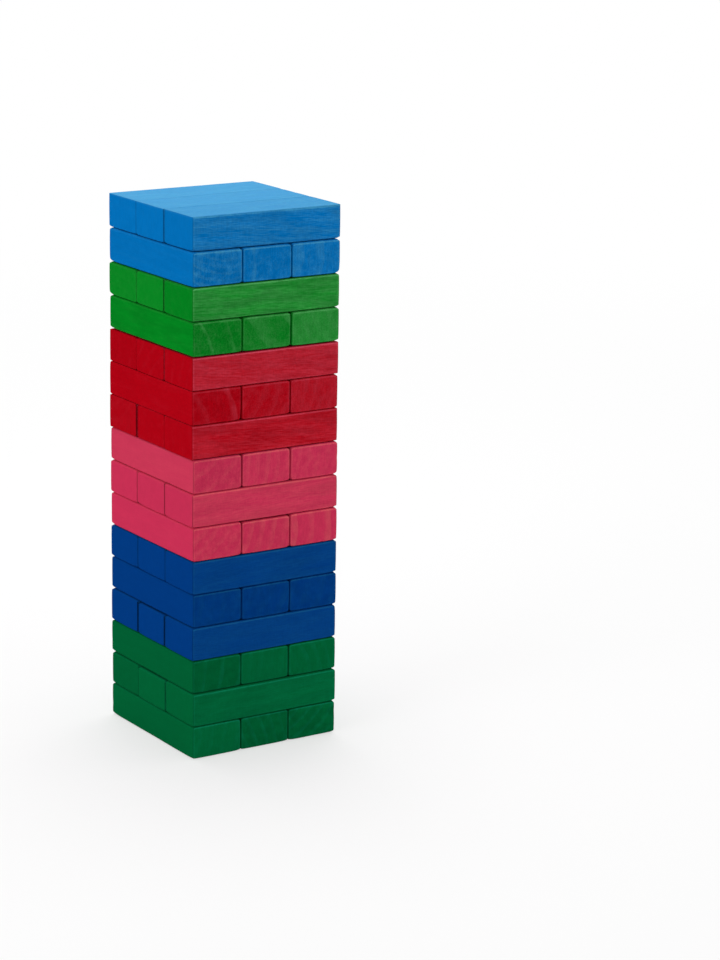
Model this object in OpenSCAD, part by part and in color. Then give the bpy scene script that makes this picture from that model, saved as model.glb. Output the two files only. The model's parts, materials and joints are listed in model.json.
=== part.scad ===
// Tumbling tower game: painted wooden blocks in crossed rows of three, one solid for each block.
// The tower stands on z = 0 and is centred on the origin. Odd rows lie along Y and even rows along X.

/* [Block] */
// Width of a block; three side by side, with the gaps between them, are as wide as a block is long
block_w = 24.9; // [12:0.1:60]
// Height of a block
block_h = 15.25; // [9:0.05:40]
// Clear height between a row and the one that lies on it, so that the blocks slide
row_gap = 0.05; // [0.02:0.01:0.3]
// Clear gap between the sides of neighbouring blocks in a row
side_gap = 0.15; // [0.1:0.05:1.5]

/* [Eased edges] */
// Radius of a block's four long edges
long_edge_r = 0.9; // [0.3:0.1:3]
// Radius of the level edges at a block's two ends
end_edge_r = 0.8; // [0.3:0.1:3]
// Radius of the upright edges at a block's two ends
upright_edge_r = 0.5; // [0.3:0.1:3]

/* [Rows of each colour, from the table up] */
// Rows of dark green blocks
dark_green_rows = 3; // [1:1:4]
// Rows of dark blue blocks
dark_blue_rows = 3; // [1:1:4]
// Rows of pink blocks
pink_rows = 3; // [1:1:4]
// Rows of red blocks
red_rows = 3; // [1:1:4]
// Rows of bright green blocks
bright_green_rows = 2; // [1:1:4]
// Rows of sky blue blocks
sky_blue_rows = 2; // [1:1:4]

/* [Hand stacking] */
// How far the blocks stand out of line, from 0 for a perfect tower to 1 for one stacked by hand
stacking_play = 1; // [0:0.1:1]

/* [Hidden] */
$fn = 48;
lanes = 3;
lane_pitch = block_w + side_gap;
block_l = lanes * lane_pitch - side_gap;
row_pitch = block_h + row_gap;

// Each band of one colour: its rows and its paint
bands = [
    [dark_green_rows, "#00602f"],
    [dark_blue_rows, "#003a80"],
    [pink_rows, "#c8305a"],
    [red_rows, "#a80018"],
    [bright_green_rows, "#0a8020"],
    [sky_blue_rows, "#0070bc"]
];
rows = rows_up_to(len(bands) - 1);

// How each row was stacked, from the bottom one up; the list starts again above its end.
// The first two are how far, in mm, the row stands to its right or back, and along its blocks.
// The third is which neighbour the middle block leans on: 1 its right or back one, -1 the other.
// The others are how far, in mm, that block is pushed along, and how much narrower and lower it is.
stacked = [
    [0.2, 0.2, 0.4, 0.2, 0, 0],
    [-0.4, 0, 1, -0.2, 0, 0.4],
    [0.2, 0.4, -0.8, 0.1, 0, 0],
    [0.1, -0.1, 0, 0, 1, 0.4],
    [0.3, 0.4, 0, -0.2, 0, 0],
    [0, -0.1, 0, 0.1, 0, 0],
    [-0.2, -0.4, 0.2, 0.2, 0, 0.4],
    [-0.2, -0.3, 0.4, 0, 0, 0],
    [-0.1, -0.1, 0.6, 0.2, 0, 0],
    [0.3, -0.3, -1, 0.2, 0.6, 0],
    [-0.3, 0.3, 0.5, 0, 0, 0],
    [0.5, 0, 1, -0.1, 0, 0],
    [-0.3, -0.2, 0, 0.2, 0, 0],
    [0.1, -0.3, 1, 0.1, 0.4, 0],
    [-0.5, -0.5, 0.2, 0.1, 0, 0],
    [0.4, 0, 0.5, -0.2, 0, 0]
];
// Clear gap that is left between two blocks that lean together
leaning_gap = 0.05;

LANES_ALONG_Y = ["left", "middle", "right"];
LANES_ALONG_X = ["front", "middle", "back"];
MIDDLE = 1;

// Rows in the bands from the bottom one up to this one
function rows_up_to(band) = band < 0 ? 0 : bands[band][0] + rows_up_to(band - 1);

// The band that a row is in
function band_of(row, band = 0) = row <= rows_up_to(band) ? band : band_of(row, band + 1);

function lies_along_x(row) = row % 2 == 0;

function block_name(row, lane) =
    str("row_", row < 10 ? "0" : "", row, "_", (lies_along_x(row) ? LANES_ALONG_X : LANES_ALONG_Y)[lane]);

// A rectangle on the origin with round corners
module rounded_rectangle(size, r) {
    square([size.x - 2 * r, size.y], center = true);
    square([size.x, size.y - 2 * r], center = true);
    for (x = [-1, 1], y = [-1, 1])
        translate([x * (size.x / 2 - r), y * (size.y / 2 - r)]) circle(r);
}

// One block on its own, lying along X with its middle on the origin
module plain_block(width, height) {
    intersection() {
        rotate([90, 0, 90])
            linear_extrude(block_l, center = true) rounded_rectangle([width, height], long_edge_r);
        linear_extrude(height, center = true) rounded_rectangle([block_l, width], upright_edge_r);
        rotate([90, 0, 0])
            linear_extrude(width, center = true) rounded_rectangle([block_l, height], end_edge_r);
    }
}

// The block of one row and lane, where it lies in the tower
module block(row, lane) {
    from_bottom = row - 1;
    play = stacking_play * stacked[from_bottom % len(stacked)];
    narrower = lane == MIDDLE ? play[4] : 0;
    lower = lane == MIDDLE ? play[5] : 0;
    lean = lane == MIDDLE ? play[2] * (side_gap - leaning_gap + narrower / 2) : 0;
    push = lane == MIDDLE ? play[3] : 0;
    across = (lane - MIDDLE) * lane_pitch + play[0] + lean;
    along = play[1] + push;
    spot = lies_along_x(row) ? [along, across] : [across, along];
    height = block_h - lower;
    color(bands[band_of(row)][1])
        translate([spot.x, spot.y, from_bottom * row_pitch + height / 2])
            rotate(lies_along_x(row) ? 0 : 90) plain_block(block_w - narrower, height);
}

for (row = [1:rows], lane = [0:lanes - 1])
    block(row, lane);
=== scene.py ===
"""Tumbling tower game: 48 painted wooden blocks, in 16 crossed rows of three.

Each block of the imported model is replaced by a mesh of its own, with worn edges and the grain of its own
piece of timber. Sizes are in mm in a block's own axes: along the grain, across it, and up.
"""

import json
import math
import random

import bpy
import numpy as np
from mathutils import Matrix, Vector, noise


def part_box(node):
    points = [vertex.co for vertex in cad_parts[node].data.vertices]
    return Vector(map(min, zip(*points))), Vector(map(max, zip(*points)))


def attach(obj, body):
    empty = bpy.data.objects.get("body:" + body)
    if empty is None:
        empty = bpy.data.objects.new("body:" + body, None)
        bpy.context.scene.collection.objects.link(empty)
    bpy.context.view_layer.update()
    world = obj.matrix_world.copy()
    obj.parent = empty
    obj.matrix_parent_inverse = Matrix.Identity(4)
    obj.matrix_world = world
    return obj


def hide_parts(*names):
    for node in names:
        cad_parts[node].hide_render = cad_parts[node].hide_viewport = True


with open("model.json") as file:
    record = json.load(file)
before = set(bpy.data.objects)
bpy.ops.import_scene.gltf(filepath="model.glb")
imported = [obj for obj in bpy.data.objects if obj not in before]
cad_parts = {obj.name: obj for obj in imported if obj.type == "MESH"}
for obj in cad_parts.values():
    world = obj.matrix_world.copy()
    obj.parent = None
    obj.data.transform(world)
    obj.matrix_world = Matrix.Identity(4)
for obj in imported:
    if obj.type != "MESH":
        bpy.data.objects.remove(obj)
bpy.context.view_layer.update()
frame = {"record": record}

MM = 0.001
ALONG, ACROSS, UP = 0, 1, 2

# Camera, as the photograph was taken: where it stands, seen from a point on the tower's axis, and how far
# its aim is turned from that point. Lengths are in metres and angles in degrees, and the lens is in mm
AIM = Vector((0, 0, 0.120))
AZIMUTH = -30.5605
ELEVATION = 14.2825
DISTANCE = 1.3492
AIM_TURN = -2.7168
AIM_TIP = 0.1404
CAMERA_ROLL = 0.8888
LENS = 111.51
SENSOR = 36.0

# Lamps, which shine at the same point on the axis, each a square soft one: where it stands, and its watts
LAMP_SIZE = 1.0
LAMPS = {
    "overhead": dict(azimuth=150, elevation=75, distance=1.4, power=14.0),
    "left": dict(azimuth=-80, elevation=22, distance=1.6, power=7.5),
    "right": dict(azimuth=20, elevation=8, distance=1.8, power=5.0),
    "rear": dict(azimuth=150, elevation=20, distance=1.8, power=4.0),
}

# World: white where it is seen, and an even soft light on the object
SKY_LIGHT = 0.55

# Floor, in metres: pale, with the tower's soft shadow. To the camera it also glows white, by the share
# FLOOR_GLOW near the tower, by more beyond WHITER_FROM, and fully beyond WHITE_FROM
FLOOR_HALF = 4.0
FLOOR_DROP = 0.0002
FLOOR_COLOUR = (0.80, 0.80, 0.80)
FLOOR_GLOW = 0.6
WHITER_FROM = 0.25
WHITE_FROM = 1.3

# Lattice of a block's surface: lines close together at its edges, then evenly spaced. A point nearer to a
# face than ON_FACE lies on it
EDGE_LINES = (0, 0.3, 0.65, 1.05, 1.6, 2.6)
LINE_STEP = (2.0, 2.5, 2.5)
ON_FACE = 0.1

# Edges: each radius is drawn between two limits. It varies along the edge in waves and ripples, and at dings,
# and towards the corners it grows by the share CORNER_WEAR. A block's place in the noise is drawn within
# NOISE_SPAN both ways
LONG_EDGE_RADIUS = (0.8, 0.95)
END_EDGE_RADIUS = (0.7, 0.85)
UPRIGHT_EDGE_RADIUS = (0.25, 0.4)
EDGE_WAVE = 0.16
EDGE_WAVE_LENGTH = 13.0
EDGE_RIPPLE = 0.09
EDGE_RIPPLE_LENGTH = 3.1
DINGS = (3, 7)
DING_WIDTH = (0.8, 2.2)
DING_DEPTH = (0.12, 0.45)
CORNER_WEAR = 0.6
CORNER_REACH = 3.0
NOISE_SPAN = 50

# How far a block's faces lie in from its CAD solid. Its sides, and how much further its top lies in, are
# given row by row, from the bottom one up
END_INSET = 0.03
LEVEL_INSET = 0.03
LOW_TOPS = (0.10, 0.0, 0.06, 0.0, 0.03, 0.10, 0.0, 0.0, 0.08, 0.0, 0.0, 0.40, 0.08, 0.25, 0.07, 0.0)
SIDE_INSETS = (0.05, 0.02, 0.05, 0.06, 0.07, 0.03, 0.10, 0.06, 0.15, 0.02, 0.13, 0.06, 0.20, 0.02, 0.11, 0.02)
FACE_WAVE = 0.05
FACE_WAVE_LENGTH = 21.0

# Light rim along a face's upper edge, lower edge and upright edges, of worn paint and a painted highlight
# where the eased edge catches the light: how plain, how far in and how wide. The painted shade along the
# upright edges, which stands for the shade in the seams between blocks, has a width of its own
RIM_ABOVE = 1.0
RIM_BELOW = 0.2
RIM_BESIDE = 0.3
RIM_PLACE = 0.5
RIM_WIDTH = 0.32
SEAM_SHADE_WIDTH = 0.3

# Timber that the blocks were cut from. Its growth rings sway by so many mm, in bends of that size
PITH_DISTANCE = (22, 75)
GRAIN_SLOPE = 0.03
TRUNK_HEIGHT = 400
RING_SWAYS = ((3.2, (13, 13, 90)), (0.7, (2.6, 2.6, 30)))

# Growth rings: the share of its light band over which a ring gets lighter, the share of its width after
# which it gets darker again, how plain the faintest ones are, and how plain all are on the sides, next to 1
# on the ends
RING_RISE = 0.65
RING_FALLS_FROM = 0.95
FAINTEST_RING = 0.5
RINGS_ON_SIDES = 0.25

# Patterns in the timber and the paint, each from noise: the size of its features in mm, across the timber
# both ways and along it, how finely they are broken up, if that isn't DETAIL, the limits between which the
# noise is drawn apart, and what it becomes at them, if that isn't 0 and 1
DETAIL = 2.0
PATTERNS = {
    "ring_patches": dict(size=(6, 6, 40), limits=(0.35, 0.65), becomes=(FAINTEST_RING, 1.0)),
    "streaks": dict(size=(0.32, 0.32, 4.2), detail=1.0, limits=(0.36, 0.64)),
    "wide_streaks": dict(size=(0.8, 0.8, 13.0), detail=1.0, limits=(0.36, 0.64)),
    "gathered": dict(size=(4.5, 4.5, 26.0), limits=(0.35, 0.65), becomes=(-0.65, -0.25)),
    "hairs": dict(size=(0.26, 0.26, 1.7), detail=1.0, limits=(0.35, 0.65)),
    "saw_marks": dict(size=(3.0, 3.0, 0.45), detail=0.0, limits=(0.35, 0.65), becomes=(-0.5, 0.5)),
    "brush_marks": dict(size=(0.6, 4.5, 40.0), limits=(0.35, 0.65), becomes=(-0.5, 0.5)),
    # The rims' wear and painted highlight come and go along the edges
    "worn_highlit_rims": dict(size=(0.9, 0.9, 3.0), limits=(0.25, 0.5), becomes=(0.4, 1.0)),
    "clouds": dict(size=(4.0, 4.0, 20.0), limits=(0.3, 0.7), becomes=(-1.0, 1.0)),
}
MOTTLE = dict(size=(3.0, 3.0, 11.0), detail=4.0, roughness=0.65)
PORES = dict(size=(0.35, 0.35, 1.4))

# Shares of the two widths of streaks in the grain, then how much each pattern thins the paint, makes it
# lighter or darker, and stands out from the surface
STREAK_SHARE = 0.5
WIDE_STREAK_SHARE = 0.4
THINNED_BY_STREAKS = 0.75
THINNED_BY_RINGS = 0.55
THINNED_BY_MOTTLE = 0.7
SHADED_BY_SAW = 0.4
SHADED_BY_BRUSH = 0.6
SHADED_BY_MOTTLE = 0.35
# The painted highlight makes the rims this much lighter
RIM_HIGHLIGHT = 0.16
RELIEF_OF_LINES = 0.6
RELIEF_OF_RINGS = 0.35
RELIEF_OF_PORES = 0.5
RELIEF_STRENGTH = 0.35
RELIEF_HEIGHT = 0.06

# The matt surface: its roughness, how much rougher bare wood is, and its faint gloss
ROUGHNESS = 0.5
BARE_ROUGHNESS = 0.12
GLOSS = 0.0005

# Paints: deep where the wood took it well and light where the grain shows, the strength of the streaks along
# the grain, of the growth rings, of the fine lines along the grain and of the rims' wear and painted
# highlight
PAINTS = {
    "dark_green": dict(deep=(0.0006, 0.110, 0.032), light=(0.004, 0.170, 0.085),
                       streaks=0.25, rings=0.55, fine=0.12, rim_wear_and_highlight=0.8),
    "dark_blue": dict(deep=(0.0006, 0.040, 0.208), light=(0.007, 0.085, 0.215),
                      streaks=0.3, rings=0.5, fine=0.12, rim_wear_and_highlight=0.8),
    "pink": dict(deep=(0.550, 0.028, 0.084), light=(0.630, 0.104, 0.116),
                 streaks=0.4, rings=0.45, fine=0.12, rim_wear_and_highlight=0.8),
    "red": dict(deep=(0.385, 0.0008, 0.006), light=(0.520, 0.050, 0.085),
                streaks=1.0, rings=1.0, fine=0.2, rim_wear_and_highlight=0.8),
    "bright_green": dict(deep=(0.001, 0.202, 0.013), light=(0.070, 0.330, 0.090),
                         streaks=1.0, rings=1.0, fine=0.2, rim_wear_and_highlight=0.7),
    "sky_blue": dict(deep=(0.0006, 0.152, 0.462), light=(0.040, 0.245, 0.450),
                     streaks=1.0, rings=1.0, fine=0.2, rim_wear_and_highlight=0.8),
}

# Colour of the sheen painted on the tops, which pales them
TOP_SHEEN_COLOUR = (0.175, 0.505, 0.590)

# Looks of a block. Bare is how much of the wood shows through all over, streaks how much that varies with
# the grain, specks the same on the ends, mottle how unevenly the paint lies on the ends, and rings how
# plainly the growth rings show. Pitch is how far apart the rings are, in mm, and band is the share of a ring
# that is light. Tone is how much lighter or darker a block is drawn, ends the same on the ends alone,
# the top's painted sheen how pale the top is, the rim how light the rims are from wear and a painted
# highlight, clouds how much the paint's shade drifts over the block, and the seam shade how dark the
# painted shade makes the upright edges. Those that start with left are for the face to the left (-X),
# and left_clouds is for the top too. On an end to the left, neither mottle nor ends counts
USUAL = dict(
    left_bare=0.0,
    streaks=0.5,
    left_streaks=0.06,
    specks=0.35,
    band=0.4,
    ends=1.0,
    painted_top_sheen=0.0,
    highlit_rim=1.0,
    left_highlit_rim=0.15,
    clouds=0.03,
    left_clouds=0.015,
    seam_shade=0.3,
)

# The looks that are drawn between two limits, block by block
DRAWN = dict(bare=(0.05, 0.2), mottle=(0.15, 0.35), tone=(0.98, 1.02), rings=(0.05, 0.2), pitch=(4.5, 8.0))

# The same on all blocks: how plain the fine lines are on left faces and tops, how plain the rings are on left
# faces, and how unevenly the paint lies where mottle doesn't count
TEXTURE_ON_LEFT_AND_TOP = 0.4
RINGS_ON_LEFT = 0.4
MOTTLE_ON_SIDES = 0.15

# What the photograph shows of single blocks, in place of these. Pith is the direction from the near end to
# the middle of the tree, in degrees, from 0 to the right and 90 up. Line_at is a place of one ring, in mm to
# the right of the end's middle, and slope is how much the grain falls to the right. In mm, top_radius is the
# radius of the edges of the top, and long_radius and end_radius are those of the level edges of the sides
# and of the ends
GRAIN = {
    "row_16_front": dict(bare=0.22, streaks=0.6, slope=0.08, clouds=0.07, top_radius=0.15, painted_top_sheen=0.27),
    "row_16_middle": dict(tone=1.04, seam_shade=0.65, top_radius=0.12, painted_top_sheen=0.30),
    "row_16_back": dict(tone=1.05, top_radius=0.12, painted_top_sheen=0.32),
    "row_15_left": dict(bare=0.11, mottle=1.4, ends=0.92, highlit_rim=1.3, left_clouds=0.03,
                        pith=80, rings=0.6, pitch=3.0, band=0.6),
    "row_15_middle": dict(bare=0.08, specks=0.3, mottle=1.2, ends=0.94, highlit_rim=1.3,
                          pith=180, rings=0.7, pitch=24.0, line_at=-5.6, band=0.13),
    "row_15_right": dict(bare=0.10, specks=0.25, mottle=0.9, highlit_rim=1.3,
                         pith=177, rings=0.5, pitch=11.0, band=0.6),
    "row_14_front": dict(bare=0.29, streaks=0.45, slope=0.05, clouds=0.15, highlit_rim=1.5),
    "row_14_middle": dict(left_bare=0.03, left_streaks=0.03, tone=1.13, seam_shade=0.75),
    "row_14_back": dict(left_bare=0.03, left_streaks=0.03, tone=1.10, seam_shade=0.0),
    "row_13_left": dict(bare=0.07, specks=0.4, tone=1.06, ends=0.81, left_clouds=0.08,
                        pith=202, rings=0.75, pitch=10.5, line_at=-3.2, band=0.22),
    "row_13_middle": dict(bare=0.12, specks=0.4, mottle=0.4, ends=0.92,
                          pith=38, rings=0.45, pitch=15.0, line_at=-4.9, band=0.6),
    "row_13_right": dict(bare=0.3, ends=0.98, pith=30, rings=0.25, band=0.6),
    "row_12_front": dict(bare=0.31, streaks=0.4, slope=0.10, tone=1.05, clouds=0.08, highlit_rim=1.5,
                         end_radius=0.3, left_highlit_rim=0.0),
    "row_12_middle": dict(tone=1.03, end_radius=0.3, left_highlit_rim=0.0),
    "row_12_back": dict(seam_shade=0.0, end_radius=0.3, left_highlit_rim=0.0),
    "row_11_left": dict(bare=0.03, specks=0.15, tone=1.06, ends=0.90, highlit_rim=0.5, long_radius=0.3, left_highlit_rim=0.0,
                        pith=203, rings=0.5, pitch=14.0, line_at=-5.4, band=0.3),
    "row_11_middle": dict(bare=0.08, specks=0.2, highlit_rim=0.5, pith=152, rings=0.2, pitch=6.5, band=0.6),
    "row_11_right": dict(bare=0.16, specks=0.25, ends=1.04, highlit_rim=0.5,
                         pith=165, rings=0.2, pitch=5.0, band=0.6),
    "row_10_front": dict(bare=0.17, streaks=0.3, slope=0.06, tone=1.04, clouds=0.10,
                         end_radius=0.3, left_highlit_rim=0.0),
    "row_10_middle": dict(tone=1.05, end_radius=0.3, left_highlit_rim=0.0),
    "row_10_back": dict(left_bare=0.03, left_streaks=0.03, tone=1.04, seam_shade=1.0, end_radius=0.3, left_highlit_rim=0.0),
    "row_09_left": dict(bare=0.05, left_bare=0.12, left_streaks=0.12, specks=0.4, mottle=0.8, tone=1.04,
                        ends=0.90, seam_shade=0.4, pith=128, rings=0.7, pitch=8.0),
    "row_09_middle": dict(bare=0.05, specks=0.4, mottle=0.6, pith=174, rings=0.8, band=0.6),
    "row_09_right": dict(bare=0.05, specks=0.4, mottle=0.8, pith=170, rings=0.6, band=0.6),
    "row_08_front": dict(bare=0.15, streaks=0.7, clouds=0.07, seam_shade=0.5),
    "row_08_middle": dict(tone=1.02, seam_shade=0.6),
    "row_08_back": dict(tone=1.05),
    "row_07_left": dict(bare=0.05, specks=0.5, mottle=0.8, tone=1.06, ends=0.94, seam_shade=0.4,
                        pith=138, rings=0.7, pitch=5.0, band=0.7),
    "row_07_middle": dict(bare=0.05, specks=0.4, mottle=0.5, pith=162, rings=1.1, pitch=6.0, band=0.6),
    "row_07_right": dict(bare=0.03, specks=0.3, pith=178, rings=1.7, pitch=9.0, band=0.5),
    "row_06_front": dict(bare=0.2, streaks=1.0, tone=1.02, clouds=0.05),
    "row_06_middle": dict(tone=1.04),
    "row_06_back": dict(tone=1.04, seam_shade=0.15),
    "row_05_left": dict(bare=0.05, specks=0.5, mottle=0.5, ends=0.92, clouds=0.06,
                        pith=170, rings=0.5, band=0.6),
    "row_05_middle": dict(bare=0.05, specks=0.5, mottle=0.5, ends=0.92, clouds=0.06,
                          pith=150, rings=0.5, band=0.6),
    "row_05_right": dict(bare=0.05, specks=0.5, mottle=0.5, ends=0.93, clouds=0.06,
                         pith=160, rings=0.5, band=0.6),
    "row_04_front": dict(bare=0.2, streaks=0.7, tone=1.02, seam_shade=0.4),
    "row_04_middle": dict(tone=1.03, seam_shade=1.0),
    "row_04_back": dict(seam_shade=1.0),
    "row_03_left": dict(bare=0.0, tone=1.03, ends=0.88, clouds=0.07,
                        pith=170, rings=1.0, pitch=9.0, band=0.3),
    "row_03_middle": dict(bare=0.05, ends=1.05, pith=175, rings=0.25, band=0.6),
    "row_03_right": dict(bare=0.0, ends=1.05, pith=200, rings=0.7, pitch=5.0, band=0.6),
    # Tone is raised on the lowest rows as painted light, against the shade that falls on them near the floor
    "row_02_front": dict(bare=0.1, tone=1.10, clouds=0.08),
    "row_02_middle": dict(tone=1.13, seam_shade=0.5),
    "row_01_left": dict(bare=0.05, tone=1.12, ends=1.08, pith=170, rings=0.4),
    "row_01_middle": dict(bare=0.0, ends=1.05, clouds=0.08, pith=198, rings=0.9, pitch=5.0, band=0.5),
    "row_01_right": dict(bare=0.0, ends=1.04, clouds=0.12, pith=132, rings=1.0, pitch=5.0, band=0.5),
}


def lattice_lines(half, step):
    """Where the lattice lines lie along one axis of a block, from one side to the other."""
    near = [half - line for line in EDGE_LINES]
    inner = near[-1]
    count = round(2 * inner / step)
    middle = np.linspace(-inner, inner, count + 1)
    return np.concatenate([[-place for place in near[:-1]], middle, near[-2::-1]])


def shell(lines):
    """The points of a box's surface lattice, and its quads, wound to face out."""
    shape = [len(axis) for axis in lines]
    on_shell = np.zeros(shape, bool)
    for axis in range(3):
        sides = [slice(None)] * 3
        sides[axis] = [0, -1]
        on_shell[tuple(sides)] = True
    number = np.full(shape, -1)
    number[on_shell] = np.arange(on_shell.sum())
    grid = np.stack(np.meshgrid(*lines, indexing="ij"), axis=-1)
    quads = []
    for axis in range(3):
        for side in (0, -1):
            sheet = np.take(number, side, axis=axis)
            corners = [sheet[:-1, :-1], sheet[1:, :-1], sheet[1:, 1:], sheet[:-1, 1:]]
            quad = np.stack(corners, axis=-1).reshape(-1, 4)
            faces_out = (side == -1) != (axis == 1)
            quads.append(quad if faces_out else quad[:, ::-1])
    return grid[on_shell], np.concatenate(quads)


def wave(points, length, offset):
    """Smooth noise from about -1 to 1 at each point, with features of that length."""
    shift = Vector(offset)
    return np.array([noise.noise(Vector(point / length) + shift) for point in points])


def edge_places(points, half):
    """For each point, the nearest place on its block's sharp edges, and how far from that edge it lies."""
    inset = half - np.abs(points)
    order = np.argsort(inset, axis=1)
    places = points.copy()
    rows = np.arange(len(points))
    for rank in (0, 1):
        axis = order[:, rank]
        places[rows, axis] = np.sign(points[rows, axis]) * half[axis]
    return places, inset[rows, order[:, 1]]


def rounded(points, half, first, second, radius):
    """The points of a box moved in to round its edges in the plane of two axes."""
    pair = [first, second]
    limit = half[pair] - radius[:, None]
    core = np.clip(points[:, pair], -limit, limit)
    out = points[:, pair] - core
    reach = np.linalg.norm(out, axis=1)
    shrink = np.divide(np.abs(out).max(axis=1), reach, out=np.ones_like(reach), where=reach > 0)
    moved = points.copy()
    moved[:, pair] = core + out * shrink[:, None]
    return moved


def wear(places, from_edge, half, offset, rng):
    """At each point's place on an edge, the factor on the edge's radius, and what a ding there adds to it."""
    from_corner = (half - np.abs(places)).sum(axis=1)
    uneven = 1 + EDGE_WAVE * wave(places, EDGE_WAVE_LENGTH, offset)
    uneven += EDGE_RIPPLE * wave(places, EDGE_RIPPLE_LENGTH, offset)
    uneven += CORNER_WEAR * np.exp(-(from_corner / CORNER_REACH) ** 2)
    dinged = np.zeros(len(places))
    for _ in range(rng.randint(*DINGS)):
        at = rng.choice(places[from_edge < ON_FACE])
        width = rng.uniform(*DING_WIDTH)
        depth = rng.uniform(*DING_DEPTH)
        dinged += depth * np.exp(-((places - at) ** 2).sum(axis=1) / width ** 2)
    return uneven, dinged


def shaped(points, half, own, inset, low_top, rng):
    """The points of the sharp box moved in to a block with eased, slightly uneven edges and planed faces."""
    places, from_edge = edge_places(points, half)
    offset = [rng.uniform(-NOISE_SPAN, NOISE_SPAN) for _ in range(3)]
    uneven, dinged = wear(places, from_edge, half, offset, rng)
    long_radius = own.get("long_radius", rng.uniform(*LONG_EDGE_RADIUS))
    end_radius = own.get("end_radius", rng.uniform(*END_EDGE_RADIUS))
    upright_radius = rng.uniform(*UPRIGHT_EDGE_RADIUS)
    upper = points[:, UP] > 0
    long_radii = np.where(upper, own.get("top_radius", long_radius), long_radius)
    end_radii = np.where(upper, own.get("top_radius", end_radius), end_radius)
    final = rounded(points, half, ACROSS, UP, long_radii * uneven + dinged)
    final = rounded(final, half, ALONG, UP, end_radii * uneven + dinged)
    final = rounded(final, half, ALONG, ACROSS, upright_radius * uneven + dinged)
    planing = inset + FACE_WAVE * (0.5 + 0.5 * wave(points, FACE_WAVE_LENGTH, offset))[:, None]
    planing[upper, UP] += low_top
    return final * (1 - planing / half)


def peak(distance, at, width):
    """1 at that distance, falling away to 0 on both sides of it."""
    return np.exp(-((distance - at) / width) ** 2)


def near_edges(points, half):
    """The rim's wear and painted highlight at each point, and the painted shade along an upright edge."""
    inset = half - np.abs(points)
    above = half[UP] - points[:, UP]
    below = half[UP] + points[:, UP]
    beside = np.maximum(inset[:, ALONG], inset[:, ACROSS])
    # The rim: worn paint with a painted highlight, strongest along the upper edge
    highlit_rim = RIM_ABOVE * peak(above, RIM_PLACE, RIM_WIDTH)
    highlit_rim = np.maximum(highlit_rim, RIM_BELOW * peak(below, RIM_PLACE, RIM_WIDTH))
    highlit_rim = np.maximum(highlit_rim, RIM_BESIDE * peak(beside, RIM_PLACE, RIM_WIDTH))
    level = inset[:, UP] < ON_FACE
    # The second is painted shade along the upright edges, where the seams between blocks lie
    return np.where(level, 0, highlit_rim), np.where(level, 0, peak(beside, 0, SEAM_SHADE_WIDTH))


def timber_place(points, own, rng):
    """Where each point of a block lay in its tree: across the trunk from its middle, and up the trunk."""
    distance = rng.uniform(*PITH_DISTANCE)
    toward = math.radians(own.get("pith", rng.uniform(0, 360)))
    if "line_at" in own:
        mean_sway = sum(sway for sway, _ in RING_SWAYS) / 2
        beyond = mean_sway - own["line_at"] * math.cos(toward)
        distance = own["pitch"] * round((distance + beyond) / own["pitch"]) - beyond
    middle = np.array([0, distance * -math.cos(toward), distance * math.sin(toward)])
    slope_across = rng.uniform(-GRAIN_SLOPE, GRAIN_SLOPE)
    slope_up = own.get("slope", rng.uniform(-GRAIN_SLOPE, GRAIN_SLOPE))
    from_middle = points - middle
    height = rng.uniform(-TRUNK_HEIGHT, TRUNK_HEIGHT)
    return np.stack([
        from_middle[:, ACROSS] + slope_across * points[:, ALONG],
        from_middle[:, UP] + slope_up * points[:, ALONG],
        points[:, ALONG] + height,
    ], axis=1)


def surface_values(points, half, along_x, look):
    """What each point of a block gives its material."""
    left_axis, left_side = (ALONG, -1) if along_x else (ACROSS, 1)
    on_left = points[:, left_axis] * left_side > half[left_axis] - ON_FACE
    on_top = points[:, UP] > half[UP] - ON_FACE
    on_end = np.abs(points[:, ALONG]) > half[ALONG] - ON_FACE
    on_other_end = on_end & ~on_left
    highlit_rim, edge_shade = near_edges(points, half)
    streaks = np.where(on_end, look["specks"], look["streaks"])
    return {
        "end": on_end,
        "bare": np.where(on_left, look["left_bare"], look["bare"]),
        # Painted sheen on the top
        "painted_top_sheen": look["painted_top_sheen"] * on_top,
        # Worn paint and a painted highlight on the rims, fainter on the left face
        "highlit_rim": highlit_rim * np.where(on_left, look["left_highlit_rim"], look["highlit_rim"]),
        # Painted shade along the upright edges, as falls in the seams between blocks
        "edge_shade": edge_shade * look["seam_shade"],
        "streaks": np.where(on_left, look["left_streaks"], streaks),
        "texture": np.where(on_left | on_top, TEXTURE_ON_LEFT_AND_TOP, 1.0),
        "rings": look["rings"] * np.where(on_left, RINGS_ON_LEFT, 1.0),
        "pitch": look["pitch"],
        "band": look["band"],
        "mottle": np.where(on_other_end, look["mottle"], MOTTLE_ON_SIDES),
        "clouds": np.where(on_left | on_top, look["left_clouds"], look["clouds"]),
        "tone": look["tone"] * np.where(on_other_end, look["ends"], 1.0),
    }


def add_values(mesh, name, values):
    """Put numbers or vectors on the points of a mesh, one for each point or the same on all."""
    values = np.asarray(values, np.float32)
    if values.ndim == 0:
        values = np.full(len(mesh.vertices), values)
    kind, field = ("FLOAT_VECTOR", "vector") if values.ndim == 2 else ("FLOAT", "value")
    mesh.attributes.new(name, kind, "POINT").data.foreach_set(field, values.ravel())


def add_object(name, data):
    """A new object in the scene."""
    thing = bpy.data.objects.new(name, data)
    bpy.context.scene.collection.objects.link(thing)
    return thing


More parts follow.
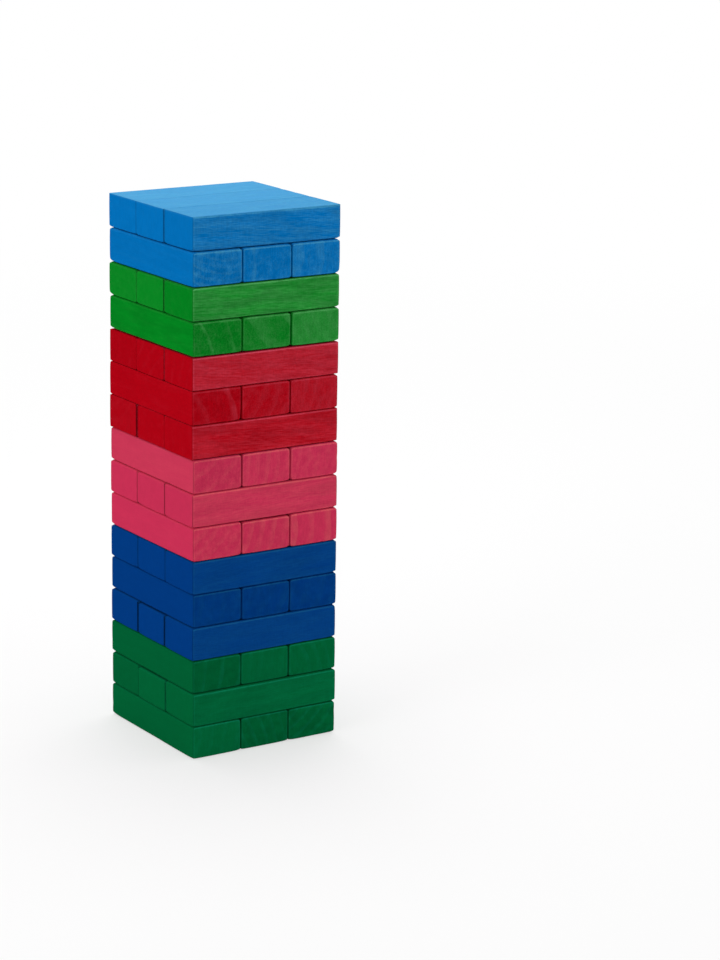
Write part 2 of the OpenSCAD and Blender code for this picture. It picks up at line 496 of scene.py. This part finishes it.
def make_block(node, material):
    """The visible block that stands for one CAD node, in the node's own box."""
    rng = random.Random(node)
    low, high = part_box(node)
    size = np.array(high - low) / MM
    centre = np.array(high + low) / 2
    along_x = size[0] > size[1]
    if not along_x:
        size = size[[1, 0, 2]]
    half = size / 2

    points, quads = shell([lattice_lines(half[axis], LINE_STEP[axis]) for axis in range(3)])
    own = GRAIN.get(node, {})
    from_bottom = int(node.split("_")[1]) - 1
    inset = np.array([END_INSET, SIDE_INSETS[from_bottom], LEVEL_INSET])
    final = shaped(points, half, own, inset, LOW_TOPS[from_bottom], rng)
    timber = timber_place(final, own, rng)
    drawn = {name: rng.uniform(*limits) for name, limits in DRAWN.items()}

    local = final * MM
    if not along_x:
        local = local[:, [1, 0, 2]] * [-1, 1, 1]
    mesh = bpy.data.meshes.new(node)
    mesh.from_pydata((local + centre).tolist(), [], quads.tolist())
    mesh.polygons.foreach_set("use_smooth", np.ones(len(mesh.polygons), bool))
    add_values(mesh, "timber", timber)
    for name, values in surface_values(points, half, along_x, {**USUAL, **drawn, **own}).items():
        add_values(mesh, name, values)
    mesh.materials.append(material)
    return add_object(node.replace("row", "block"), mesh)


class Shader:
    """The node tree of a material or of the world, with a short call for each kind of node used here."""

    def __init__(self, owner, output="OutputMaterial"):
        owner.use_nodes = True
        self.tree = owner.node_tree
        self.tree.nodes.clear()
        self.surface = self.node(output).inputs["Surface"]

    def node(self, kind, **settings):
        node = self.tree.nodes.new("ShaderNode" + kind)
        for key, value in settings.items():
            setattr(node, key, value)
        return node

    def link(self, value, socket):
        """Feed a socket from another one, or set it to a plain value."""
        if isinstance(value, bpy.types.NodeSocket):
            self.tree.links.new(value, socket)
        else:
            socket.default_value = value

    def attribute(self, name):
        return self.node("Attribute", attribute_name=name)

    def value(self, name):
        """A number that the mesh holds on each point."""
        return self.attribute(name).outputs["Fac"]

    def math(self, operation, *values, clamp=False):
        node = self.node("Math", operation=operation, use_clamp=clamp)
        for value, socket in zip(values, node.inputs):
            self.link(value, socket)
        return node.outputs[0]

    def minus(self, first, second):
        return self.math("SUBTRACT", first, second)

    def times(self, first, *others):
        for other in others:
            first = self.math("MULTIPLY", first, other)
        return first

    def times_plus(self, first, second, added, clamp=False):
        return self.math("MULTIPLY_ADD", first, second, added, clamp=clamp)

    def vector(self, operation, *values):
        node = self.node("VectorMath", operation=operation)
        for value, socket in zip(values, node.inputs):
            self.link(value, socket)
        return node.outputs["Value" if operation == "LENGTH" else "Vector"]

    def noise(self, place, size, detail=DETAIL, roughness=0.5):
        """Noise with features that many mm across, across the timber both ways and along it."""
        node = self.node("TexNoise")
        self.link(self.vector("DIVIDE", place, size), node.inputs["Vector"])
        node.inputs["Scale"].default_value = 1.0
        node.inputs["Detail"].default_value = detail
        node.inputs["Roughness"].default_value = roughness
        return node.outputs["Fac"]

    def between(self, value, low, high, to_low=0.0, to_high=1.0):
        """Where a value stands between two limits, smoothly, as a number from to_low to to_high."""
        node = self.node("MapRange", interpolation_type="SMOOTHSTEP")
        for socket, setting in zip(node.inputs, (value, low, high, to_low, to_high)):
            self.link(setting, socket)
        return node.outputs[0]

    def pattern(self, name, place):
        """One of the patterns in the timber and the paint, at each place."""
        pattern = PATTERNS[name]
        noise_there = self.noise(place, pattern["size"], detail=pattern.get("detail", DETAIL))
        return self.between(noise_there, *pattern["limits"], *pattern.get("becomes", (0.0, 1.0)))

    def mix(self, factor, first, second):
        node = self.node("MixRGB")
        for socket, value in zip(node.inputs, (factor, first, second)):
            self.link(value, socket)
        return node.outputs[0]

    def seen_directly(self):
        """1 for what the camera sees, also mirrored or through glass, and 0 for the light on the object."""
        path = self.node("LightPath")
        seen = self.math("MAXIMUM", path.outputs["Is Camera Ray"], path.outputs["Is Glossy Ray"])
        return self.math("MAXIMUM", seen, path.outputs["Is Transmission Ray"])


def opaque(colour):
    """A colour as a node takes it, with nothing showing through."""
    return (*colour, 1.0)


def growth_rings(s, place):
    """The light bands of the growth rings: each rises away from the middle of the tree, and ends sharply."""
    from_pith = s.vector("LENGTH", s.vector("MULTIPLY", place, (1.0, 1.0, 0.0)))
    for sway, size in RING_SWAYS:
        from_pith = s.times_plus(s.noise(place, size), sway, from_pith)
    ring = s.math("DIVIDE", from_pith, s.value("pitch"))
    within = s.math("FRACT", ring)
    band = s.value("band")
    rise = s.between(within, s.minus(1.0, band), s.times_plus(band, RING_RISE - 1, 1.0))
    fall = s.between(within, RING_FALLS_FROM, 1.0, 1.0, 0.0)
    plainness = s.node("TexWhiteNoise", noise_dimensions="1D")
    s.link(s.math("FLOOR", ring), plainness.inputs["W"])
    faint = s.between(plainness.outputs["Value"], 0.0, 1.0, FAINTEST_RING, 1.0)
    return s.times(rise, fall, faint, s.pattern("ring_patches", place))


def painted_wood(name, deep, light, streaks, rings, fine, rim_wear_and_highlight):
    """Wood with one thin coat of matt paint, which the grain shows through."""
    material = bpy.data.materials.new(name)
    s = Shader(material)
    place = s.attribute("timber").outputs["Vector"]
    end = s.value("end")
    side = s.minus(1.0, end)
    ring_bands = growth_rings(s, place)

    # Grain: bands in which more or less wood shows through, and fine lighter and darker lines
    thin_lines = s.pattern("streaks", place)
    bands = s.times_plus(s.pattern("wide_streaks", place), WIDE_STREAK_SHARE, s.pattern("gathered", place))
    bands = s.times_plus(thin_lines, STREAK_SHARE, bands)
    lines = s.times_plus(s.math("ADD", thin_lines, s.pattern("hairs", place)), 0.5, -0.5)
    lines = s.times_plus(s.times(s.pattern("saw_marks", place), side), SHADED_BY_SAW, lines)
    lines = s.times_plus(s.times(s.pattern("brush_marks", place), end), SHADED_BY_BRUSH, lines)

    # How thin the paint is: with the grain, where it lies unevenly, and at the rims, where wear and a
    # painted highlight lighten it
    mottle = s.times(s.minus(s.noise(place, **MOTTLE), 0.5), s.value("mottle"))
    # The rims: worn paint with a painted highlight
    highlit_rim = s.times(s.value("highlit_rim"), s.pattern("worn_highlit_rims", place))
    thin = s.times(bands, s.value("streaks"), THINNED_BY_STREAKS * streaks)
    ring_share = s.times_plus(side, RINGS_ON_SIDES - 1, 1.0)
    thin = s.times_plus(s.times(ring_bands, s.value("rings"), THINNED_BY_RINGS * rings), ring_share, thin)
    thin = s.times_plus(mottle, THINNED_BY_MOTTLE, thin)
    thin = s.math("ADD", thin, s.value("bare"))
    thin = s.times_plus(highlit_rim, rim_wear_and_highlight, thin, clamp=True)

    # Colour, with a painted sheen on the tops, a painted highlight on the rims, and painted shade along
    # the upright edges
    colour = s.mix(thin, opaque(deep), opaque(light))
    # Painted sheen on the tops
    colour = s.mix(s.value("painted_top_sheen"), colour, opaque(TOP_SHEEN_COLOUR))
    shade = s.times(
        s.value("tone"),
        s.times_plus(mottle, SHADED_BY_MOTTLE, 1.0),
        s.times_plus(s.pattern("clouds", place), s.value("clouds"), 1.0),
        # Painted highlight on the rims
        s.times_plus(highlit_rim, RIM_HIGHLIGHT, 1.0),
        s.times_plus(s.times(lines, s.value("texture")), fine, 1.0),
        # Painted shade along the upright edges
        s.minus(1.0, s.value("edge_shade")),
    )

    # Relief of the lines, the rings and the pores
    relief = s.times_plus(lines, RELIEF_OF_LINES, s.times(ring_bands, RELIEF_OF_RINGS))
    relief = s.times_plus(s.noise(place, **PORES), RELIEF_OF_PORES, relief)
    bump = s.node("Bump")
    bump.inputs["Strength"].default_value = RELIEF_STRENGTH
    bump.inputs["Distance"].default_value = RELIEF_HEIGHT * MM
    s.link(relief, bump.inputs["Height"])

    paint = s.node("BsdfPrincipled")
    s.link(s.vector("MULTIPLY", colour, shade), paint.inputs["Base Color"])
    s.link(s.times_plus(thin, BARE_ROUGHNESS, ROUGHNESS), paint.inputs["Roughness"])
    s.link(bump.outputs["Normal"], paint.inputs["Normal"])
    paint.inputs["Specular IOR Level"].default_value = GLOSS
    s.link(paint.outputs["BSDF"], s.surface)
    return material


def add_floor():
    """The floor: matt, and glowing white to the camera, more so away from the tower."""
    mesh = bpy.data.meshes.new("floor")
    corners = [(x * FLOOR_HALF, y * FLOOR_HALF, -FLOOR_DROP) for x, y in ((-1, -1), (1, -1), (1, 1), (-1, 1))]
    mesh.from_pydata(corners, [], [(0, 1, 2, 3)])
    material = bpy.data.materials.new("floor")
    s = Shader(material)
    matt = s.node("BsdfDiffuse")
    matt.inputs["Color"].default_value = opaque(FLOOR_COLOUR)
    from_tower = s.vector("LENGTH", s.node("TexCoord").outputs["Object"])
    glowing = s.between(from_tower, WHITER_FROM, WHITE_FROM, FLOOR_GLOW, 1.0)
    share = s.node("MixShader")
    s.link(s.times(s.seen_directly(), glowing), share.inputs[0])
    s.link(matt.outputs[0], share.inputs[1])
    s.link(s.node("Emission").outputs[0], share.inputs[2])
    s.link(share.outputs[0], s.surface)
    mesh.materials.append(material)
    floor = add_object("floor", mesh)


def add_world():
    """White surroundings where they are seen, which light the object less."""
    world = bpy.data.worlds.new("studio")
    bpy.context.scene.world = world
    s = Shader(world, "OutputWorld")
    background = s.node("Background")
    background.inputs["Color"].default_value = opaque((1, 1, 1))
    s.link(s.between(s.seen_directly(), 0.0, 1.0, SKY_LIGHT, 1.0), background.inputs["Strength"])
    s.link(background.outputs[0], s.surface)


def direction(azimuth, elevation):
    """The unit vector towards a place, from the front (-Y) turned to the right (+X) and up."""
    a, e = math.radians(azimuth), math.radians(elevation)
    return Vector((math.sin(a) * math.cos(e), -math.cos(a) * math.cos(e), math.sin(e)))


def add_lamp(name, azimuth, elevation, distance, power):
    """A square soft lamp that shines at the point on the tower's axis."""
    lamp = bpy.data.lights.new(name, "AREA")
    lamp.size = LAMP_SIZE
    lamp.energy = power
    holder = add_object(name, lamp)
    away = direction(azimuth, elevation)
    holder.location = AIM + distance * away
    holder.rotation_euler = away.to_track_quat("Z", "Y").to_euler()


def add_camera():
    """The camera, placed and turned as the photograph was taken."""
    lens = bpy.data.cameras.new("camera")
    lens.lens = LENS
    lens.sensor_width = SENSOR
    camera = add_object("camera", lens)
    backward = direction(AZIMUTH + AIM_TURN, ELEVATION + AIM_TIP)
    level = (-backward).cross(Vector((0, 0, 1))).normalized()
    rising = level.cross(-backward)
    roll = math.radians(CAMERA_ROLL)
    right = math.cos(roll) * level + math.sin(roll) * rising
    up = -math.sin(roll) * level + math.cos(roll) * rising
    turned = Matrix((right, up, backward)).transposed().to_4x4()
    camera.matrix_world = Matrix.Translation(AIM + DISTANCE * direction(AZIMUTH, ELEVATION)) @ turned
    bpy.context.scene.camera = camera


materials = {name: painted_wood(name, **paint) for name, paint in PAINTS.items()}
for part in frame["record"]["subparts"]:
    block = make_block(part["node"], materials[part["material_slot"]])
    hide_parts(part["node"])
    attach(block, part["node"])

add_floor()
add_world()
for name, lamp in LAMPS.items():
    add_lamp(name, **lamp)
add_camera()
bpy.context.scene.view_settings.view_transform = "Standard"
